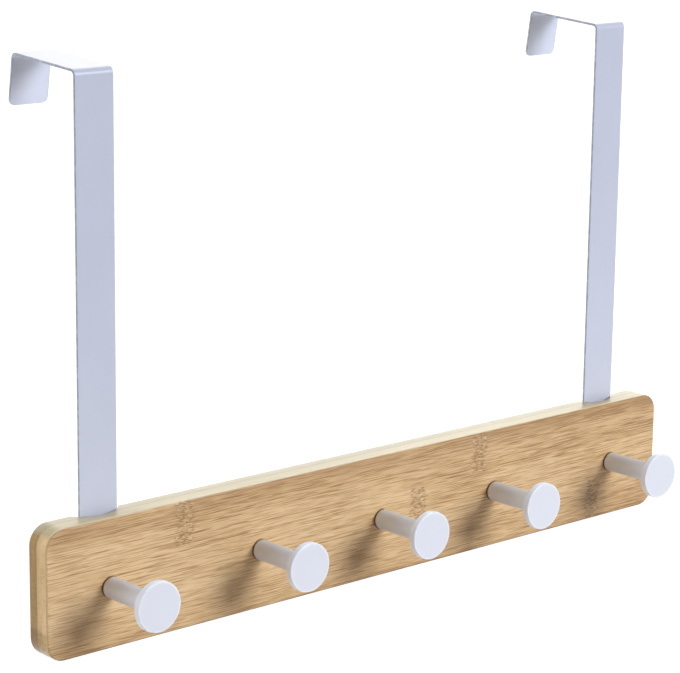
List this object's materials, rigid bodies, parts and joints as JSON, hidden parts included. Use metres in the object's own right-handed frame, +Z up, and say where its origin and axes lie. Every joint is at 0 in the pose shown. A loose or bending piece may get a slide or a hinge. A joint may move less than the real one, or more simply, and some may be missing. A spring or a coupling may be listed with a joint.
{
  "type": "over door hook rail",
  "caption": "Over door coat rail: a bamboo board with a row of round-headed pegs, hung on the top edge of a door by bent flat steel straps.",
  "frame": {"origin": "midway between the two straps, on the plane of the board's back face, level with the inner corner of the hooks (the top front edge of the door)", "axes": "+X to the viewer's right along the board, +Y from the front of the board towards the door, +Z up"},
  "size_m": [0.4012, 0.0979, 0.2668],
  "materials": {
    "bamboo": "clear matt lacquer over flat-grain bamboo",
    "white_paint": "satin white powder coat",
    "white_peg": "satin white powder coat",
    "screw_steel": "zinc plated"
  },
  "bodies": {
    "root": {"bamboo_board": "bamboo", "left_strap": "white_paint", "right_strap": "white_paint", "coat_peg_1": "white_peg", "coat_peg_2": "white_peg", "coat_peg_3": "white_peg", "coat_peg_4": "white_peg", "coat_peg_5": "white_peg", "peg_screws": "screw_steel", "strap_screws": "screw_steel"}
  },
  "joints": []
}
